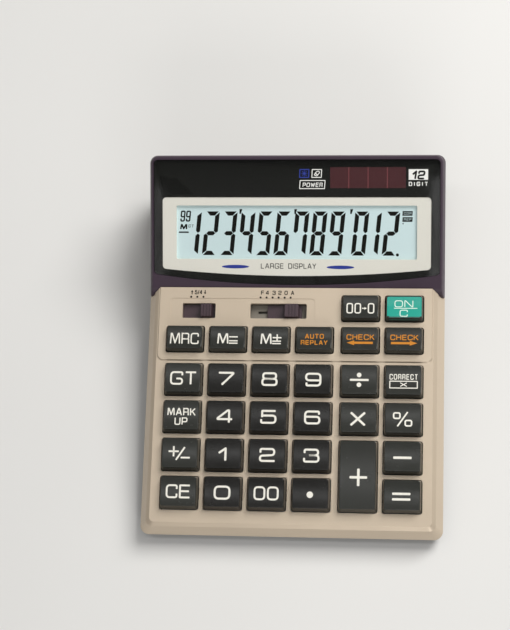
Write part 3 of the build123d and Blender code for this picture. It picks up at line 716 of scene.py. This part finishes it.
def lcd_number(marks):
    """Twelve slanted figures with their commas and the decimal point."""
    low, tall, wide, line, slant, pitch = 16.0, 22.9, 7.3, 2.2, 0.1, 9.44
    top = low + tall
    first = -49.6 - wide - slant * tall
    zero_shift = 2.9                            # the figure after the last comma stands apart
    commas = {2: 0.95, 5: 1.45, 8: 2.35}        # room before the comma that follows a figure
    for index, digit in enumerate("123456789012"):
        left = first + pitch * index + (zero_shift if digit == "0" else 0)
        lcd_digit(marks, digit, left, low, wide, tall, line, slant)
        if index in commas:
            x = left + wide + slant * tall + commas[index]
            marks.polygon([(x, top + 1.2), (x, top - 1.3), (x + 0.65, top - 1.3), (x + 1.55, top + 1.2)])
    marks.disc((first + pitch * 11 + wide + 0.9, low + 0.4), 0.78)


def lcd_figures():
    """Number shown on the display and its small indicators."""
    marks = Print(HEAD, 0.04)
    lcd_number(marks)
    for x in (-60.0, -57.1):
        marks.text("9", (x, 36.4), 2.5, 5.8, 0.74, 0.1)
    marks.text("M", (-59.4, 30.8), 3.8, 2.9, 0.8, 0.12)
    marks.stroke([(-61.8, 27.95), (-56.8, 27.95)], 0.75)
    for y in (36.75, 33.6):
        marks.polygon([(55.3, y), (60.5, y), (60.7, y + 2.4), (55.5, y + 2.4)])
    marks.disc((55.7, 32.6), 0.33)
    marks.build("lcd_figures", "head", LCD_DARK, height=LCD_TOP)
    pale = Print(HEAD, 0.08)
    for word, y in (("COR", 37.95), ("REP", 34.8)):
        pale.text(word, (58.0, y), 3.9, 1.3, 0.2, 0.08, gap=0.5)
    pale.build("lcd_letters", "head", LCD_CLEAR, height=LCD_TOP)
    faint = Print(HEAD, 0.04)
    faint.text("GT", (-55.5, 31.2), 2.9, 1.7, 0.36, 0.1)
    faint.build("lcd_faint", "head", LCD_FAINT, height=LCD_TOP)


def frame_print():
    """Words and two blue dashes on the cream frame under the display."""
    marks = Print(HEAD, 0.03)
    marks.text("LARGE", (-12.4, 10.4), 12.0, 2.8, 0.4, gap=0.8)
    marks.text("DISPLAY", (3.3, 10.4), 14.6, 2.8, 0.4, gap=0.8)
    marks.build("frame_words", "head", INK_GREY, height=FRAME_TOP)
    dashes = Print(HEAD, 0.03)
    for x, y in ((-31.8, 10.0), (23.3, 9.85)):
        dashes.disc((x, y), 7.2, 0.13, 48)
    dashes.build("frame_dashes", "head", INK_BLUE, height=FRAME_TOP)


def film_labels(marks):
    """White badge, its word, and the outlined word beside the solar cell."""
    marks.polygon([(58.5, 55.3), (68.5, 55.3), (68.5, 60.8), (58.5, 60.8)])
    marks.text("DIGIT", (63.5, 53.2), 9.9, 2.2, 0.45, gap=1.35)
    marks.stroke([(1.9, 50.8), (14.9, 50.8), (15.2, 55.0), (2.2, 55.0)], 0.42, 0.1, True)
    marks.text("POWER", (8.6, 52.75), 10.4, 2.3, 0.4, 0.12)


def battery_icon(marks):
    """Small battery in an outlined box."""
    marks.stroke([(8.3, 56.6), (13.2, 56.6), (13.4, 60.7), (8.5, 60.7)], 0.42, 0.1, True)
    marks.stroke([(9.5, 57.9), (10.9, 57.3), (12.4, 59.2), (11.6, 60.0), (10.5, 59.4)], 0.4, 0.3, True)
    marks.stroke([(10.3, 58.6), (11.2, 57.9)], 0.5)


def sun_icon(marks):
    """Small sun with eight rays in an outlined box."""
    marks.stroke([(1.9, 56.6), (6.6, 56.6), (6.8, 60.7), (2.1, 60.7)], 0.5, 0.1, True)
    sun = Vector((4.35, 58.65))
    marks.disc(sun, 0.75)
    for turn in range(8):
        angle = math.pi * turn / 4
        ray = Vector((math.cos(angle), math.sin(angle)))
        marks.stroke([sun + ray * 1.0, sun + ray * 1.6], 0.35)


def mask_print():
    """Icons and badge on the dark film above the display."""
    white = Print(HEAD, 0.03)
    film_labels(white)
    battery_icon(white)
    white.build("mask_white", "head", INK_BRIGHT, height=MASK_TOP)
    blue = Print(HEAD, 0.03)
    sun_icon(blue)
    blue.build("mask_blue", "head", INK_BLUE, height=MASK_TOP)
    dark = Print(HEAD, 0.06)
    dark.text("12", (63.3, 57.8), 6.8, 4.6, 0.95, 0.16, gap=1.5)
    dark.build("mask_dark", "head", SLOT_MATERIALS["lens_mask"], height=MASK_TOP)


def solar_lines():
    """Three dividing lines between the four cells."""
    marks = Print(HEAD, 0.03)
    span = SOLAR_HIGH.x - SOLAR_LOW.x
    for step in (1, 2, 3):
        x = SOLAR_LOW.x + span * step / 4
        marks.stroke([(x, SOLAR_LOW.y + 0.2), (x, SOLAR_HIGH.y - 0.2)], 0.5)
    marks.build("solar_lines", "head", INK_LINE, height=SOLAR_HIGH.z)


key_legends()
power_key()
panel_print()
lcd_figures()
frame_print()
mask_print()
solar_lines()


# ---------------------------------------------------------------- stage, lights and camera
EYE = Vector((0.07767, -0.28739, 0.88149))      # camera's place, in metres
AIM = Vector((-0.02126, 0.01569, 0.024))        # point it looks at
CAMERA_ROLL = math.radians(-16.58)
FOCAL_LENGTH = 99.79
FLOOR_FRONT = -3.0
FLOOR_LENGTH = 6.5
FLOOR_BEND = 0.75                               # share of the length where the floor starts to rise
FLOOR_RISE = 2.2
FLOOR_STEPS = 24
FLOOR_DROP = 0.00002                            # keeps the floor just clear of the feet


def stage_floor():
    """Wide pale sweep: flat under the object, rising far behind it."""
    mesh = bpy.data.meshes.new("Floor")
    work = bmesh.new()
    rows = []
    for step in range(FLOOR_STEPS + 1):
        t = step / FLOOR_STEPS
        y = FLOOR_FRONT + FLOOR_LENGTH * t
        z = FLOOR_RISE * (max(0.0, t - FLOOR_BEND) / (1 - FLOOR_BEND)) ** 2
        rows.append([work.verts.new((x, y, z - FLOOR_DROP)) for x in (-4.0, -1.3, 1.3, 4.0)])
    for lower, upper in zip(rows, rows[1:]):
        for k in range(3):
            work.faces.new((lower[k], lower[k + 1], upper[k + 1], upper[k])).smooth = True
    work.to_mesh(mesh)
    work.free()
    material, tree, shader = new_material("FloorPale")
    drift = object_noise(tree, 3, 3)
    tree.links.new(ramp(tree, drift, (0.74, 0.735, 0.72), (0.78, 0.775, 0.76)), shader.inputs["Base Color"])
    tree.links.new(spread(tree, object_noise(tree, 40), 0.75, 0.9), shader.inputs["Roughness"])
    mesh.materials.append(material)
    floor = bpy.data.objects.new("Floor", mesh)
    bpy.context.scene.collection.objects.link(floor)


def area_light(name, place, aim, size, power, colour=(1, 1, 1)):
    """Rectangular soft light facing aim, its first size running across the scene in x."""
    place = Vector(place)
    out = (place - Vector(aim)).normalized()
    across = (Vector((1, 0, 0)) - out * out.x).normalized()
    data = bpy.data.lights.new(name, "AREA")
    data.shape = "RECTANGLE"
    data.size, data.size_y = size
    data.energy = power
    data.color = colour
    lamp = bpy.data.objects.new(name, data)
    turn = Matrix((across, out.cross(across), out)).transposed().to_4x4()
    lamp.matrix_world = Matrix.Translation(place) @ turn
    bpy.context.scene.collection.objects.link(lamp)


def glint(name, centre, size, power):
    """Narrow soft light whose mirror image, seen from the camera's place, falls on the lens at centre."""
    spot = HEAD @ (Vector(centre) * MM)
    out = HEAD.to_3x3() @ Vector((0, 0, 1))
    view = EYE - spot
    mirrored = out * 2 * out.dot(view) - view
    area_light(name, spot + mirrored * 0.9, spot, size, power)


def studio():
    """Even pale surroundings, a large soft key light, a front fill and a strip over the keys."""
    world = bpy.data.worlds.new("Studio")
    world.use_nodes = True
    world.node_tree.nodes["Background"].inputs["Color"].default_value = (1.0, 0.99, 0.97, 1)
    world.node_tree.nodes["Background"].inputs["Strength"].default_value = 0.23
    bpy.context.scene.world = world
    area_light("KeySoft", (0.8, 0.8, 1.25), (0, 0, 0), (0.9, 0.8), 25.5, (1, 0.99, 0.97))
    area_light("FillFront", (0.3, -1.4, 0.7), (0, 0, 0.02), (1.0, 0.6), 7.0, (1, 0.99, 0.98))
    area_light("KeyBand", (-0.1, -0.02, 1.6), (-0.1, -0.02, 0), (2.0, 0.16), 3.0)
    glint("LensGlintLeft", (-73, 26, 6), (0.014, 0.1), 0.003)
    glint("LensGlintRight", (73.5, 30, 6), (0.014, 0.1), 0.005)


def camera():
    """Camera high over the front right of the object, rolled about its line of sight."""
    data = bpy.data.cameras.new("Camera")
    data.lens = FOCAL_LENGTH
    data.clip_start = 0.05
    eye = bpy.data.objects.new("Camera", data)
    forward = (AIM - EYE).normalized()
    level = forward.to_track_quat("-Z", "Y").to_matrix().to_4x4()
    eye.matrix_world = Matrix.Translation(EYE) @ level @ Matrix.Rotation(CAMERA_ROLL, 4, "Z")
    bpy.context.scene.collection.objects.link(eye)
    bpy.context.scene.camera = eye


stage_floor()
studio()
camera()
bpy.context.scene.view_settings.view_transform = "Standard"
